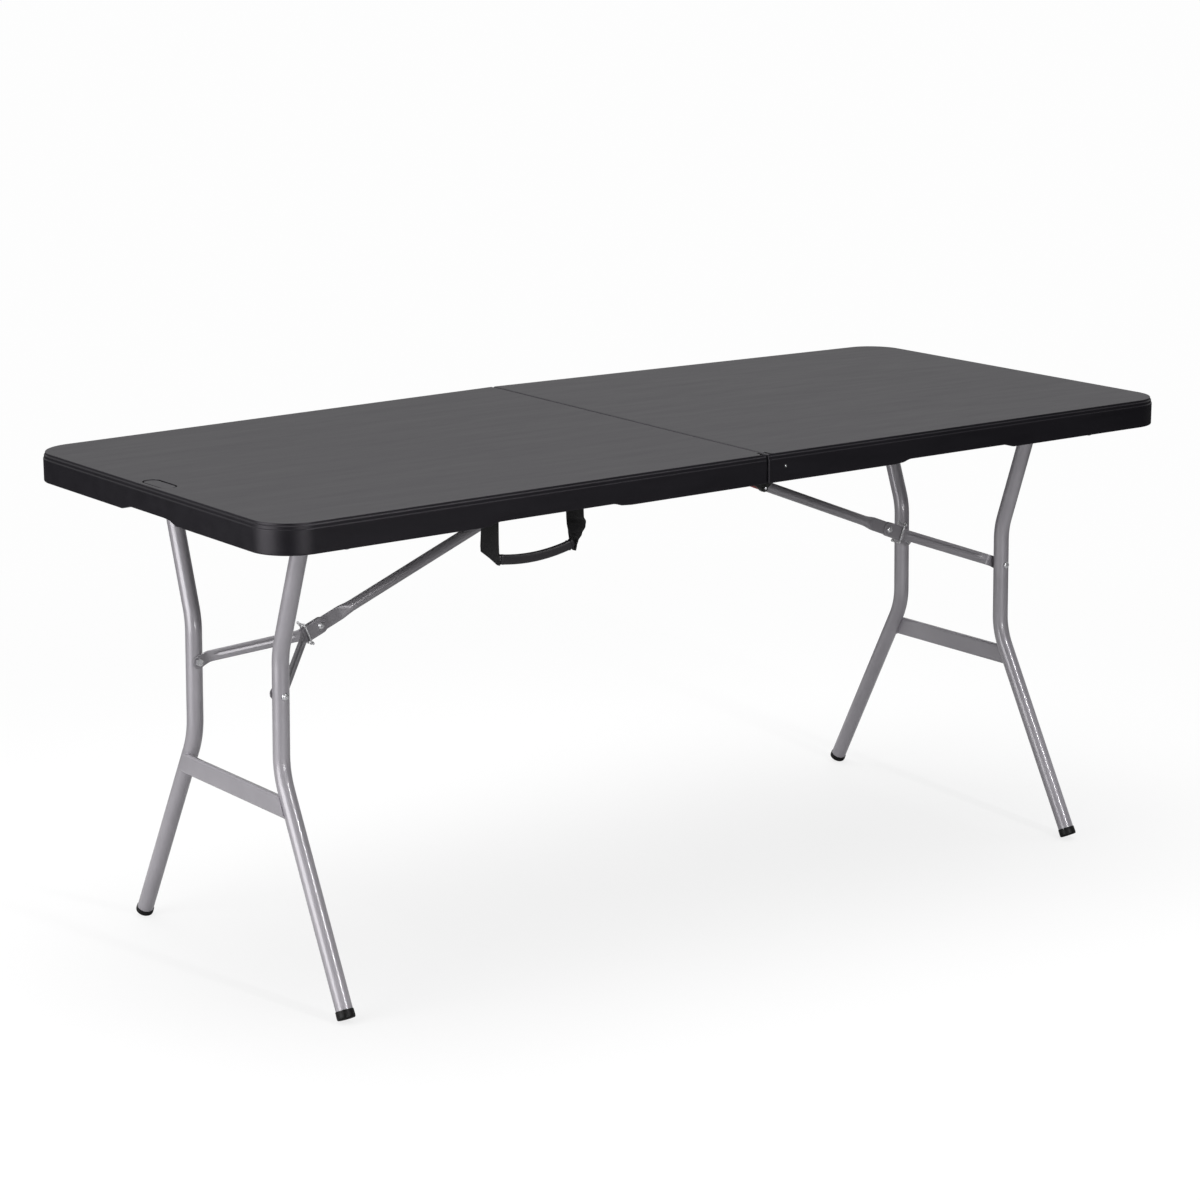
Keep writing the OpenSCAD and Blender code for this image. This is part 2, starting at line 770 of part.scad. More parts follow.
// Wire ring round both stems; its lower side is left open for the link's blade to pass
module lock_ring() {
    side_z = ring_half_h - ring_corner;
    color(zinc) at_knee() translate([ring_s, 0, 0]) front_and_rear() {
        translate([0, -ring_half_w, -side_z]) cylinder(h = 2 * side_z, r = wire_r);
        translate([0, ring_corner - ring_half_w, side_z]) ring_bend(90);
        translate([0, ring_corner - ring_half_w, -side_z]) ring_bend(180);
        y_rod(0, ring_half_h, ring_corner - ring_half_w, 0, wire_r);
        y_rod(0, -ring_half_h, ring_corner - ring_half_w, -ring_mouth, wire_r);
    }
}

// A quarter turn of the ring's wire, starting at this angle in the Y-Z plane
module ring_bend(from) {
    rotate([90, 0, 90]) rotate([0, 0, from])
        rotate_extrude(angle = 90) translate([ring_corner, 0]) circle(r = wire_r);
}

// ---- Handle ----
// The strap's fixed end: a flat loop that tucks up into the rim and holds the pivot pin
module webbing_stub(x) {
    translate([-x - web_loop, 0, 0]) rotate([90, 0, 90]) linear_extrude(2 * web_loop) difference() {
        union() {
            translate([-web_front_y, web_pivot_z]) square([webbing_width, rim_z - gap - web_pivot_z]);
            translate([-web_tuck_front, web_pivot_z])
                square([web_tuck_front - web_tuck_rear, web_tuck_z - web_pivot_z]);
            translate([-web_mid_y, web_pivot_z]) circle(r = web_knuckle_r);
        }
        translate([-web_mid_y, web_pivot_z]) circle(r = web_pin_r + fit);
        translate([-web_tuck_mid, tuck_pin_z]) circle(r = web_pin_r + fit);
    }
}

module webbing_stubs() {
    slot_t = web_t / 2 + gap;
    color(web_black) difference() {
        for (x = strap_x) webbing_stub(x);
        for (x = strap_x)
            translate([-x - slot_t, -half_depth, web_pivot_z - web_knuckle_r - spare])
                cube([2 * slot_t, 2 * webbing_width, web_knuckle_r + spare + web_notch]);
    }
}

module x_rod(x, y, z, half, r) {
    translate([x - half, y, z]) rotate([0, 90, 0]) cylinder(h = 2 * half, r = r);
}

// Pivot pins of the handle, and the pins that keep the loops in the rim
module webbing_pins() {
    color(zinc) for (x = strap_x) {
        x_rod(-x, -web_mid_y, web_pivot_z, web_loop, web_pin_r);
        x_rod(-x, -web_tuck_mid, tuck_pin_z, web_pin_half, web_pin_r);
    }
}

// The strap's swinging end, tapering down to the grip
module webbing_ends() {
    front = -web_front_y;
    rear = grip_t - grip_y;
    low = grip_z - grip_h / 2;
    color(web_black) for (x = strap_x) translate([-x - web_t / 2, 0, 0]) rotate([90, 0, 90])
        linear_extrude(web_t) difference() {
            union() {
                translate([-web_mid_y, web_pivot_z]) circle(r = web_knuckle_r);
                polygon([[-web_mid_y - web_knuckle_r, web_pivot_z],
                    [front, grip_z + grip_h / 2], [front, low], [rear, low],
                    [rear + strap_side, grip_z],
                    [-web_mid_y + web_knuckle_r * cos(strap_angle),
                        web_pivot_z - web_knuckle_r * sin(strap_angle)]]);
            }
            translate([-web_mid_y, web_pivot_z]) circle(r = web_pin_r + fit);
        }
}

// Sagging bar between the two straps
module handle_grip() {
    mid_z = grip_z - grip_sag + grip_bow;
    color(grip_grey) y_plate(-grip_y - grip_t / 2, grip_t / 2 - grip_y) intersection() {
        translate([-grip_mid_x, mid_z]) difference() {
            circle(r = grip_bow + grip_h / 2, $fn = smooth_fn);
            circle(r = grip_bow - grip_h / 2, $fn = smooth_fn);
        }
        translate([-grip_mid_x - grip_half, grip_z - 2 * grip_h])
            square([2 * grip_half, 4 * grip_h]);
    }
}

left_top();
right_top();
on_left() rail();  // rail_left_front
on_left() on_rear() rail();  // rail_left_rear
rail();  // rail_right_front
on_rear() rail();  // rail_right_rear
on_left() hinge_leaf(-leaf_y);  // hinge_leaf_left_front
on_left() on_rear() hinge_leaf(-leaf_y);  // hinge_leaf_left_rear
hinge_leaf(leaf_t + leaf_gap - leaf_y);  // hinge_leaf_right_front
on_rear() hinge_leaf(leaf_t + leaf_gap - leaf_y);  // hinge_leaf_right_rear
hinge_pin();  // hinge_pin_front
on_rear() hinge_pin();  // hinge_pin_rear
on_left() pivot_bracket();  // pivot_bracket_left_front
on_left() on_rear() pivot_bracket();  // pivot_bracket_left_rear
pivot_bracket();  // pivot_bracket_right_front
on_rear() pivot_bracket();  // pivot_bracket_right_rear
on_left() pivot_bushes();  // pivot_bushes_left
pivot_bushes();  // pivot_bushes_right
on_left() link_bracket();  // link_bracket_left
link_bracket();  // link_bracket_right
on_left() link_pin();  // link_pin_left
link_pin();  // link_pin_right
on_left() under_screws();  // under_screws_left
under_screws();  // under_screws_right
on_left() leg_tube();  // leg_left_front
on_left() on_rear() leg_tube();  // leg_left_rear
leg_tube();  // leg_right_front
on_rear() leg_tube();  // leg_right_rear
on_left() pivot_tube();  // pivot_tube_left
pivot_tube();  // pivot_tube_right
on_left() crossbar();  // crossbar_left
crossbar();  // crossbar_right
on_left() foot();  // foot_left_front
on_left() on_rear() foot();  // foot_left_rear
foot();  // foot_right_front
on_rear() foot();  // foot_right_rear
on_left() arm_bolts();  // arm_bolts_left
arm_bolts();  // arm_bolts_right
on_left() brace_link();  // link_left
brace_link();  // link_right
link_sleeve();  // sleeve_right
on_left() arm();  // arm_left_front
on_left() on_rear() arm();  // arm_left_rear
arm();  // arm_right_front
on_rear() arm();  // arm_right_rear
on_left() knee_rivet();  // knee_rivet_left
knee_rivet();  // knee_rivet_right
on_left() arm_nuts();  // arm_nuts_left
arm_nuts();  // arm_nuts_right
on_left() lock_ring();  // lock_ring_left
lock_ring();  // lock_ring_right
webbing_stubs();
webbing_pins();
webbing_ends();
handle_grip();
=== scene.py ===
import math
import bpy
import bmesh
from mathutils import Matrix, Vector


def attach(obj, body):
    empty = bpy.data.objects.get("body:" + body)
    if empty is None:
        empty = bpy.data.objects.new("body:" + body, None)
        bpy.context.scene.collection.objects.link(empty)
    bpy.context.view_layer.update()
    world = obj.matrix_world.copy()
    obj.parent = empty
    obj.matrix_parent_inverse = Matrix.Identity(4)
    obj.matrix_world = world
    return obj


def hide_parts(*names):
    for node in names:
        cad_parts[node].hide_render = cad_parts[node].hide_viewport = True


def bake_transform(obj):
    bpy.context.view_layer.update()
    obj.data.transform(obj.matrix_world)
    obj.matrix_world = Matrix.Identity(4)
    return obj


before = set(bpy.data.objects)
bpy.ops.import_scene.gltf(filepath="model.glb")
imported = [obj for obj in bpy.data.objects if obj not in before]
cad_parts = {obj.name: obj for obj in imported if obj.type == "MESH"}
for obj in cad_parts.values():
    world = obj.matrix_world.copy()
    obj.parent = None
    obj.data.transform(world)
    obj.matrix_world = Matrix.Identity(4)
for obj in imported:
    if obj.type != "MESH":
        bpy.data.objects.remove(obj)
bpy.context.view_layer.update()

MM = 0.001
cos, sin, pi = math.cos, math.sin, math.pi
rad = math.radians


# ---------------------------------------------------------------- camera
def make_camera():
    data = bpy.data.cameras.new("camera")
    obj = bpy.data.objects.new("camera", data)
    bpy.context.scene.collection.objects.link(obj)
    a, e, roll = rad(-36.565), rad(13.347), rad(-0.155)
    back = Vector((sin(a) * cos(e), -cos(a) * cos(e), sin(e)))
    right = (-back).cross(Vector((0, 0, 1))).normalized()
    up = right.cross(-back)
    x_axis = right * cos(roll) + up * sin(roll)
    y_axis = up * cos(roll) - right * sin(roll)
    m = Matrix((x_axis, y_axis, back)).transposed().to_4x4()
    m.translation = Vector((-2.9245, -3.8834, 1.6082))
    obj.matrix_world = m
    data.sensor_width = 36
    data.lens = 95.067
    data.clip_end = 60
    bpy.context.scene.camera = obj


make_camera()


# ---------------------------------------------------------------- node materials
def new_material(name, color, rough, metallic=0.0, specular=0.5, coat=0.0, sheen=0.0, tint=(1, 1, 1, 1)):
    m = bpy.data.materials.new(name)
    m.use_nodes = True
    b = m.node_tree.nodes["Principled BSDF"]
    b.inputs["Base Color"].default_value = (*color, 1)
    b.inputs["Roughness"].default_value = rough
    b.inputs["Metallic"].default_value = metallic
    b.inputs["Specular IOR Level"].default_value = specular
    b.inputs["Specular Tint"].default_value = tint
    b.inputs["Coat Weight"].default_value = coat
    b.inputs["Coat Roughness"].default_value = 0.12
    b.inputs["Sheen Weight"].default_value = sheen
    return m


def node(m, kind, **inputs):
    n = m.node_tree.nodes.new(kind)
    for k, v in inputs.items():
        n.inputs[k.replace("_", " ")].default_value = v
    return n


def join(m, a, a_out, b, b_in):
    m.node_tree.links.new(a.outputs[a_out], b.inputs[b_in])


def noise(m, scale, detail=4.0, rough=0.55, stretch=(1, 1, 1)):
    """Noise on the object's own coordinates, in metres, stretched by the given factors."""
    where = node(m, "ShaderNodeTexCoord")
    place = node(m, "ShaderNodeMapping", Scale=stretch)
    n = node(m, "ShaderNodeTexNoise", Scale=scale, Detail=detail, Roughness=rough)
    join(m, where, "Object", place, "Vector")
    join(m, place, "Vector", n, "Vector")
    return n


def ramp(m, source, out, low, high, a, b):
    """Maps source from low..high to a..b, for numbers or for colours."""
    if isinstance(a, tuple):
        r = node(m, "ShaderNodeValToRGB")
        r.color_ramp.elements[0].position = low
        r.color_ramp.elements[1].position = high
        r.color_ramp.elements[0].color = (*a, 1)
        r.color_ramp.elements[1].color = (*b, 1)
        join(m, source, out, r, "Fac")
        return r, "Color"
    r = node(m, "ShaderNodeMapRange")
    r.inputs["From Min"].default_value = low
    r.inputs["From Max"].default_value = high
    r.inputs["To Min"].default_value = a
    r.inputs["To Max"].default_value = b
    join(m, source, out, r, "Value")
    return r, "Result"


def bump(m, source, out, strength, distance, under=None):
    n = node(m, "ShaderNodeBump", Strength=strength, Distance=distance)
    join(m, source, out, n, "Height")
    if under:
        join(m, under, "Normal", n, "Normal")
    return n


def shader(m):
    return m.node_tree.nodes["Principled BSDF"]


def plastic(name, dark, light, rough, grain, specular=0.5, tint=(1, 1, 1, 1)):
    """Moulded plastic: a fine pebble, and long faint streaks along the table."""
    m = new_material(name, dark, rough, specular=specular, tint=tint)
    s = shader(m)
    streak = noise(m, 1.0, 6, 0.62, stretch=(7, 45, 45))
    join(m, *ramp(m, streak, "Fac", 0.3, 0.75, dark, light), s, "Base Color")
    join(m, *ramp(m, streak, "Fac", 0.3, 0.7, rough - 0.02, rough + 0.03), s, "Roughness")
    low = bump(m, streak, "Fac", 0.2, 0.00012 * grain)
    pebble = noise(m, 900, 2, 0.5)
    fine = bump(m, pebble, "Fac", 0.25, 0.00012 * grain, low)
    join(m, fine, "Normal", s, "Normal")
    return m


def enamel(name, color, rough, metallic, coat=0.0):
    """Powder coat: orange peel, slight tone changes, duller rubbed patches."""
    m = new_material(name, color, rough, metallic, coat=coat)
    s = shader(m)
    tone = noise(m, 9, 4, 0.6)
    dark = tuple(c * 0.92 for c in color)
    light = tuple(min(1, c * 1.06) for c in color)
    join(m, *ramp(m, tone, "Fac", 0.3, 0.7, dark, light), s, "Base Color")
    join(m, *ramp(m, tone, "Fac", 0.3, 0.7, rough - 0.02, rough + 0.04), s, "Roughness")
    peel = noise(m, 300, 2, 0.5)
    join(m, bump(m, peel, "Fac", 0.08, 0.00008), "Normal", s, "Normal")
    return m


def plated(name, color, rough):
    """Zinc plate: cloudy tone, with roughness and a faint bump from the same noise."""
    m = new_material(name, color, rough, 0.7)
    s = shader(m)
    tone = noise(m, 160, 4, 0.6)
    dark = tuple(c * 0.8 for c in color)
    join(m, *ramp(m, tone, "Fac", 0.3, 0.7, dark, color), s, "Base Color")
    join(m, *ramp(m, tone, "Fac", 0.3, 0.7, rough - 0.05, rough + 0.1), s, "Roughness")
    join(m, bump(m, tone, "Fac", 0.15, 0.00005), "Normal", s, "Normal")
    return m


def rubber(name, color, rough):
    m = new_material(name, color, rough, specular=0.25)
    s = shader(m)
    dust = noise(m, 120, 5, 0.6)
    light = tuple(c * 1.7 + 0.002 for c in color)
    join(m, *ramp(m, dust, "Fac", 0.35, 0.75, color, light), s, "Base Color")
    join(m, *ramp(m, dust, "Fac", 0.3, 0.7, rough - 0.08, rough + 0.08), s, "Roughness")
    join(m, bump(m, noise(m, 1500, 2), "Fac", 0.2, 0.0001), "Normal", s, "Normal")
    return m


def woven(name, color, light):
    """Webbing: a fine crossed weave made of two wave textures."""
    m = new_material(name, color, 0.8, specular=0.25, sheen=0.1)
    s = shader(m)
    where = node(m, "ShaderNodeTexCoord")
    waves = []
    for direction, scale in (("Y", 420), ("Z", 520)):
        w = node(m, "ShaderNodeTexWave", Scale=scale, Distortion=0.6, Detail=1.0)
        w.bands_direction = direction
        join(m, where, "Object", w, "Vector")
        waves.append(w)
    mix = node(m, "ShaderNodeMath")
    mix.operation = "MULTIPLY"
    join(m, waves[0], "Fac", mix, 0)
    join(m, waves[1], "Fac", mix, 1)
    join(m, *ramp(m, mix, "Value", 0.1, 0.9, color, light), s, "Base Color")
    join(m, bump(m, mix, "Value", 0.5, 0.0004), "Normal", s, "Normal")
    return m


M_TOP = plastic("moulded_top", (0.0040, 0.0036, 0.0052), (0.0064, 0.0058, 0.0080), 0.43, 1.0, 0.33,
                (0.95, 0.90, 0.98, 1))
M_LEG = enamel("leg_enamel", (0.345, 0.330, 0.358), 0.42, 0.24, 0.8)
M_BRACE = enamel("brace_enamel", (0.275, 0.264, 0.284), 0.37, 0.3, 0.45)
M_STEEL = enamel("rail_enamel", (0.16, 0.16, 0.17), 0.42, 0.5)
M_BLACK = enamel("black_enamel", (0.012, 0.012, 0.012), 0.42, 0.0)
M_ZINC = plated("zinc_plate", (0.72, 0.72, 0.74), 0.26)
M_WIRE = plated("zinc_wire", (0.66, 0.66, 0.67), 0.3)
M_RUBBER = rubber("foot_rubber", (0.003, 0.003, 0.0032), 0.45)
M_BUSH = plastic("bush_nylon", (0.02, 0.02, 0.02), (0.028, 0.028, 0.028), 0.5, 0.6)
M_RED = plastic("sleeve_vinyl", (0.22, 0.012, 0.01), (0.30, 0.02, 0.016), 0.4, 0.6)
M_WEB = woven("webbing", (0.006, 0.006, 0.0065), (0.014, 0.014, 0.015))
M_GRIP = plastic("grip_plastic", (0.011, 0.010, 0.012), (0.017, 0.015, 0.019), 0.46, 0.8)


# ---------------------------------------------------------------- mesh helpers
def finish_mesh(obj, sharp=35, weighted=True):
    bm = bmesh.new()
    bm.from_mesh(obj.data)
    bmesh.ops.remove_doubles(bm, verts=bm.verts, dist=1e-6)
    bmesh.ops.recalc_face_normals(bm, faces=bm.faces)
    for f in bm.faces:
        f.smooth = True
    for e in bm.edges:
        if len(e.link_faces) == 2 and e.calc_face_angle(0) > rad(sharp):
            e.smooth = False
    bm.to_mesh(obj.data)
    bm.free()
    if weighted:
        w = obj.modifiers.new("weighted", "WEIGHTED_NORMAL")
        w.keep_sharp = True
    return obj


def add(name, verts, faces, sharp=35, weighted=True):
    mesh = bpy.data.meshes.new(name)
    mesh.from_pydata([(v[0] * MM, v[1] * MM, v[2] * MM) for v in verts], [], faces)
    obj = bpy.data.objects.new(name, mesh)
    bpy.context.scene.collection.objects.link(obj)
    return finish_mesh(obj, sharp, weighted)


def loft(name, rings, cap=(True, True), sharp=35, closed=False, weighted=True):
    """Skins a list of equal rings of points, in millimetres."""
    n = len(rings[0])
    verts = [p for r in rings for p in r]
    faces = []
    last = len(rings) if closed else len(rings) - 1
    for i in range(last):
        a, b = i * n, ((i + 1) % len(rings)) * n
        for k in range(n):
            q = (k + 1) % n
            faces.append((a + k, a + q, b + q, b + k))
    if not closed:
        if cap[0]:
            faces.append(tuple(reversed(range(n))))
        if cap[1]:
            faces.append(tuple(range((len(rings) - 1) * n, len(rings) * n)))
    return add(name, verts, faces, sharp, weighted)


def turn(count):
    """The angles of a full turn in equal steps."""
    return [2 * pi * k / count for k in range(count)]


def sweep_rings(path, radius, sides, normal):
    """Round rings along a path that lies in the plane with this normal."""
    rings = []
    normal = Vector(normal).normalized()
    for i, p in enumerate(path):
        p = Vector(p)
        a = Vector(path[max(i - 1, 0)])
        b = Vector(path[min(i + 1, len(path) - 1)])
        t = (b - a).normalized()
        s = normal.cross(t).normalized()
        r = radius[i] if isinstance(radius, list) else radius
        rings.append([p + s * (r * cos(a)) + normal * (r * sin(a)) for a in turn(sides)])
    return rings


def lathe(name, origin, axis, profile, sides=40, sharp=35):
    """Turns [radius, height] points round an axis. A radius of 0 closes it."""
    axis = Vector(axis).normalized()
    side = axis.orthogonal().normalized()
    other = axis.cross(side)
    o = Vector(origin)
    rings = [[o + axis * h + (side * cos(a) + other * sin(a)) * max(r, 0.001) for a in turn(sides)]
             for r, h in profile]
    return loft(name, rings, sharp=sharp)


def bent(points, radius, step=4):
    """A polyline with its corners rounded to this radius."""
    pts = [Vector(p) for p in points]
    out = [pts[0]]
    for i in range(1, len(pts) - 1):
        a, b, c = pts[i - 1], pts[i], pts[i + 1]
        u, v = (b - a).normalized(), (c - b).normalized()
        angle = u.angle(v)
        if angle < 1e-4:
            continue
        t = radius * math.tan(angle / 2)
        start = b - u * t
        inward = (v - u * u.dot(v)).normalized()
        centre = start + inward * radius
        n = max(3, int(math.degrees(angle) / step) + 1)
        for k in range(n + 1):
            w = angle * k / n
            out.append(centre - inward * (radius * cos(w)) + u * (radius * sin(w)))
    out.append(pts[-1])
    return out


def densify(path, step):
    out = [path[0]]
    for a, b in zip(path, path[1:]):
        n = max(1, int((b - a).length / step))
        out += [a + (b - a) * (k / n) for k in range(1, n + 1)]
    return out


def mirrored(obj, name, axis):
    new = bpy.data.objects.new(name, obj.data.copy())
    bpy.context.scene.collection.objects.link(new)
    for v in new.data.vertices:
        v.co[axis] = -v.co[axis]
    new.data.flip_normals()
    for m in obj.modifiers:
        if m.type == "WEIGHTED_NORMAL":
            new.modifiers.new("weighted", "WEIGHTED_NORMAL").keep_sharp = True
    return new


def cut(obj, cutter):
    mod = obj.modifiers.new("cut", "BOOLEAN")
    mod.operation = "DIFFERENCE"
    mod.solver = "EXACT"
    mod.object = cutter
    dg = bpy.context.evaluated_depsgraph_get()
    mesh = bpy.data.meshes.new_from_object(obj.evaluated_get(dg))
    obj.modifiers.clear()
    old = obj.data
    obj.data = mesh
    bpy.data.meshes.remove(old)
    bpy.data.objects.remove(cutter)


def paint(obj, material, body, slot, *nodes):
    obj.data.materials.clear()
    obj.data.materials.append(material)
    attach(obj, body)
    if nodes:
        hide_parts(*nodes)
    return obj


def smooth_step(t):
    t = max(0.0, min(1.0, t))
    return t * t * (3 - 2 * t)


# ---------------------------------------------------------------- table top
HALF_L, HALF_D, TOP = 840.0, 356.0, 740.0
SEAM_X, SEAM_R, CORNER_R = 0.4, 3.6, 62.0
END_SCOOP = (-10, 66, 26, 6.4)  # centre, half length, length of the fade, height
SIDE_SCOOP = (380.5, 108.5, 24, 5.0)
FINE_X, FINE_Y, FINE_STEP = (385 - 108, 385 + 108), (-23 - 72, -23 + 72), 0.9
SEAM_REAR, SEAM_FRONT = 8.5, 1.5
# inset from the outer face, depth below the top, the same two at the seam, share of the scoop
RIM = [(12, 0, 12, 0, 0), (4.6, 0, 4.4, 0, 0), (3.8, .06, 3.0, .1, 0), (3.35, .25, 1.9, .42, 0),
       (3.05, .65, 1.0, .95, 0), (2.96, 1.2, .45, 1.6, 0), (2.95, 2.2, .12, 2.4, 0), (2.85, 2.9, .02, 3.0, 0),
       (2.5, 3.35, 0, 3.5, 0), (1.7, 4.1, 0, 4.1, 0), (1.35, 4.5, 0, 4.5, 0), (1.25, 5.0, 0, 5, 0),
       (1.25, 6.4, 0, 6.5, 0), (1.2, 8.0, 0, 8.0, 0), (1.05, 8.4, 0, 8.4, 0), (.3, 9.15, 0, 9.15, 0),
       (.05, 9.6, 0, 9.6, 0), (0, 10.4, 0, 10.4, 0), (0, 18, 0, 18, 0), (0, 27, 0, 27, 0),
       (0, 34, 0, 34, .25), (0, 39, 0, 39, .7), (0, 42.2, 0, 42.2, 1), (.15, 43, .15, 43, 1),
       (.5, 43.55, .5, 43.55, 1), (1.0, 43.87, 1.0, 43.87, 1), (1.8, 44, 1.8, 44, 1),
       (30, 44, 30, 44, 1), (34, 44, 34, 44, 1), (48, 38, 48, 38, 0)]


def scoop(x, y, side):
    centre, half, fade, height = END_SCOOP if side == "end" else SIDE_SCOOP
    along = y if side == "end" else x
    return height * smooth_step(0.5 - (abs(along - centre) - half) / fade)


def crown(x, y):
    """The halves do not lie quite flat: the seam stands a little proud, most at the rear."""
    across = (y + HALF_D) / (2 * HALF_D)
    return (SEAM_FRONT + (SEAM_REAR - SEAM_FRONT) * across) * (1 - abs(x) / HALF_L)


def outline_points():
    """The half's outline: point, outward direction, seam corner, share of the seam's profile, side name."""
    x0, r, q = SEAM_X, CORNER_R, SEAM_R
    out = []
    xs = set(round(x0 + q + i * (HALF_L - r - x0 - q) / 44, 3) for i in range(45))
    for c in FINE_X:
        xs |= set(c + k * FINE_STEP for k in range(-8, 9))
    xs = sorted(xs)
    ys = set(-(HALF_D - r) + i * 2 * (HALF_D - r) / 34 for i in range(35))
    for c in FINE_Y:
        ys |= set(c + k * FINE_STEP for k in range(-8, 9))
    ys = sorted(ys)
    for x in xs:
        out.append(((x, -HALF_D), (0, -1), None, 0.0, "side"))
    for k in range(1, 24):
        a = -pi / 2 + k * pi / 48
        out.append(((HALF_L - r + r * cos(a), -HALF_D + r + r * sin(a)), (cos(a), sin(a)), None, 0.0, "side"))
    for y in ys:
        out.append(((HALF_L, y), (1, 0), None, 0.0, "end"))
    for k in range(1, 24):
        a = k * pi / 48
        out.append(((HALF_L - r + r * cos(a), HALF_D - r + r * sin(a)), (cos(a), sin(a)), None, 0.0, "side"))
    for x in reversed(xs):
        out.append(((x, HALF_D), (0, 1), None, 0.0, "side"))
    for k in range(1, 8):
        a = pi / 2 + k * pi / 16
        point = (x0 + q + q * cos(a), HALF_D - q + q * sin(a))
        out.append((point, (cos(a), sin(a)), (x0 + q, HALF_D - q, 1), k / 8, "seam"))
    for k in range(0, 27):
        y = (HALF_D - q) * (1 - 2 * k / 26)
        out.append(((x0, y), (-1, 0), None, 1.0, "seam"))
    for k in range(1, 8):
        a = pi + k * pi / 16
        point = (x0 + q + q * cos(a), -HALF_D + q + q * sin(a))
        out.append((point, (cos(a), sin(a)), (x0 + q, -HALF_D + q, -1), 1 - k / 8, "seam"))
    return out


def top_rings():
    q = SEAM_R
    pts = outline_points()
    rings = []
    for d, z, ds, zs, w in RIM:
        ring = []
        for (x, y), (nx, ny), corner, seam, side in pts:
            inset = d * (1 - seam) + ds * seam
            drop = z * (1 - seam) + zs * seam
            if corner and inset > q:
                px = corner[0] + (inset - q)
                py = corner[1] - corner[2] * (inset - q)
            elif corner:
                px, py = corner[0] + nx * (q - inset), corner[1] + ny * (q - inset)
            else:
                px, py = x - nx * inset, y - ny * inset
                if side == "seam":
                    py = max(-HALF_D + max(d, q), min(HALF_D - max(d, q), py))
                elif side == "side" and abs(ny) == 1:
                    px = max(SEAM_X + max(ds, q), px)
            lift = 0 if side == "seam" else scoop(x, y, side) * w
            ring.append((px, py, TOP - drop + lift + crown(px, py)))
        rings.append(ring)
    return rings


def recess_cutter():
    """The recess under a half, open at the seam: depth below the top, and growth of its outline."""
    levels = [(52, 3), (44.05, 1.6), (43.6, 1), (43, .5), (42.2, .15), (41, 0), (30, 0), (19.6, 0),
              (18.4, -.35), (17.5, -1.1), (17.05, -2.2), (17, -3.2)]
    quarter = [k * pi / 32 for k in range(17)]
    rings = []
    for z, g in levels:
        x1, y1, r = 810 + g, 326 + g, 33 + g
        front = [(x1 - r + r * cos(a), -y1 + r + r * sin(a)) for a in [-pi / 2 + q for q in quarter]]
        rear = [(x1 - r + r * cos(a), y1 - r + r * sin(a)) for a in quarter]
        ring = [(-6, -y1)] + front + rear + [(-6, y1)]
        rings.append([(x, y, TOP - z + (crown(x, y) if z >= 30 else 0)) for x, y in ring])
    return loft("recess", rings)


def box_cutter(x0, x1, y0, y1, z0, z1):
    v = [(x, y, z) for z in (z0, z1) for x, y in ((x0, y0), (x1, y0), (x1, y1), (x0, y1))]
    faces = [(3, 2, 1, 0), (4, 5, 6, 7), (0, 1, 5, 4), (1, 2, 6, 5), (2, 3, 7, 6), (3, 0, 4, 7)]
    return add("box", v, faces)


def stadium_cutter(x, y, half, r):
    """A shallow oval with a finger-nail groove round it."""
    rings = []
    profile = ((-.3, -3.4), (-.5, -2.7), (-2.6, -2.1), (-2.8, -.7), (-2.5, -.2), (-.15, 0), (.05, .2), (3, 1))
    for z, g in profile:
        ring = []
        for s, base in ((1, 0), (-1, pi)):
            for k in range(17):
                a = base + k * pi / 16
                ring.append((x + (r + g) * cos(a), y + s * (half - r) + (r + g) * sin(a), TOP + z))
        rings.append(ring)
    return loft("stadium", rings)


def make_tops():
    top = loft("right_moulded_top", top_rings())
    top.modifiers.clear()
    cut(top, recess_cutter())
    for s in (-1, 1):
        y = sorted((s * 320, s * 352))
        cut(top, box_cutter(-4, 54, y[0], y[1], 680, 723))
    cut(top, box_cutter(562, 596, -14, 14, 715, 729.5))
    finish_mesh(top, 32)
    left = mirrored(top, "left_moulded_top", 0)
    left.modifiers.clear()
    cut(left, stadium_cutter(-816, -2, 36, 14))
    finish_mesh(left, 32)
    paint(top, M_TOP, "right_half", "moulded_plastic", "right_top")
    paint(left, M_TOP, "left_half", "moulded_plastic", "left_top")
    for name, body, s in (("right_apron_screw", "right_half", -1), ("left_apron_screw", "left_half", 1)):
        o = Vector((-s * 34, s * 356, 719 + crown(34, s * 356)))
        collar = [(2.9, -1), (2.9, 0), (2.5, .25), (1.9, 0.1), (1.8, -.4)]
        ring = lathe(name + "_collar", o, (0, s, 0), collar, 28)
        paint(ring, M_BLACK, body, "black_steel")
        dot = lathe(name, o, (0, s, 0), [(1.4, -1), (1.4, 0), (1.1, .4), (.5, .6), (0, .65)], 24)
        paint(dot, M_ZINC, body, "zinc_fasteners")


make_tops()


# ---------------------------------------------------------------- legs
LEAN = rad(1)
LEG_X, RIM_Z = 696, 696  # the leg plane meets the rim's lower edge here
SOCKET_Z, BEND_HIGH_Z, BEND_LOW_Z = 703, 502, 325
TOP_Y, WAIST_Y, FOOT_Y = 192, 124, 297
SPREAD = (FOOT_Y - WAIST_Y) / BEND_LOW_Z
TUBE_R, TUBE_END = 12.5, 9
BAR_Z, BOLT_Z = 281, 440
ARM_X = LEG_X + (RIM_Z - BOLT_Z) * math.tan(LEAN)


def leg_point(side, across, up, out=0.0):
    """A point of the leaning leg plane: up is the height above the rim's lower edge."""
    x = LEG_X + out * cos(LEAN) - up * sin(LEAN)
    return Vector((side * x, across, RIM_Z + out * sin(LEAN) + up * cos(LEAN)))


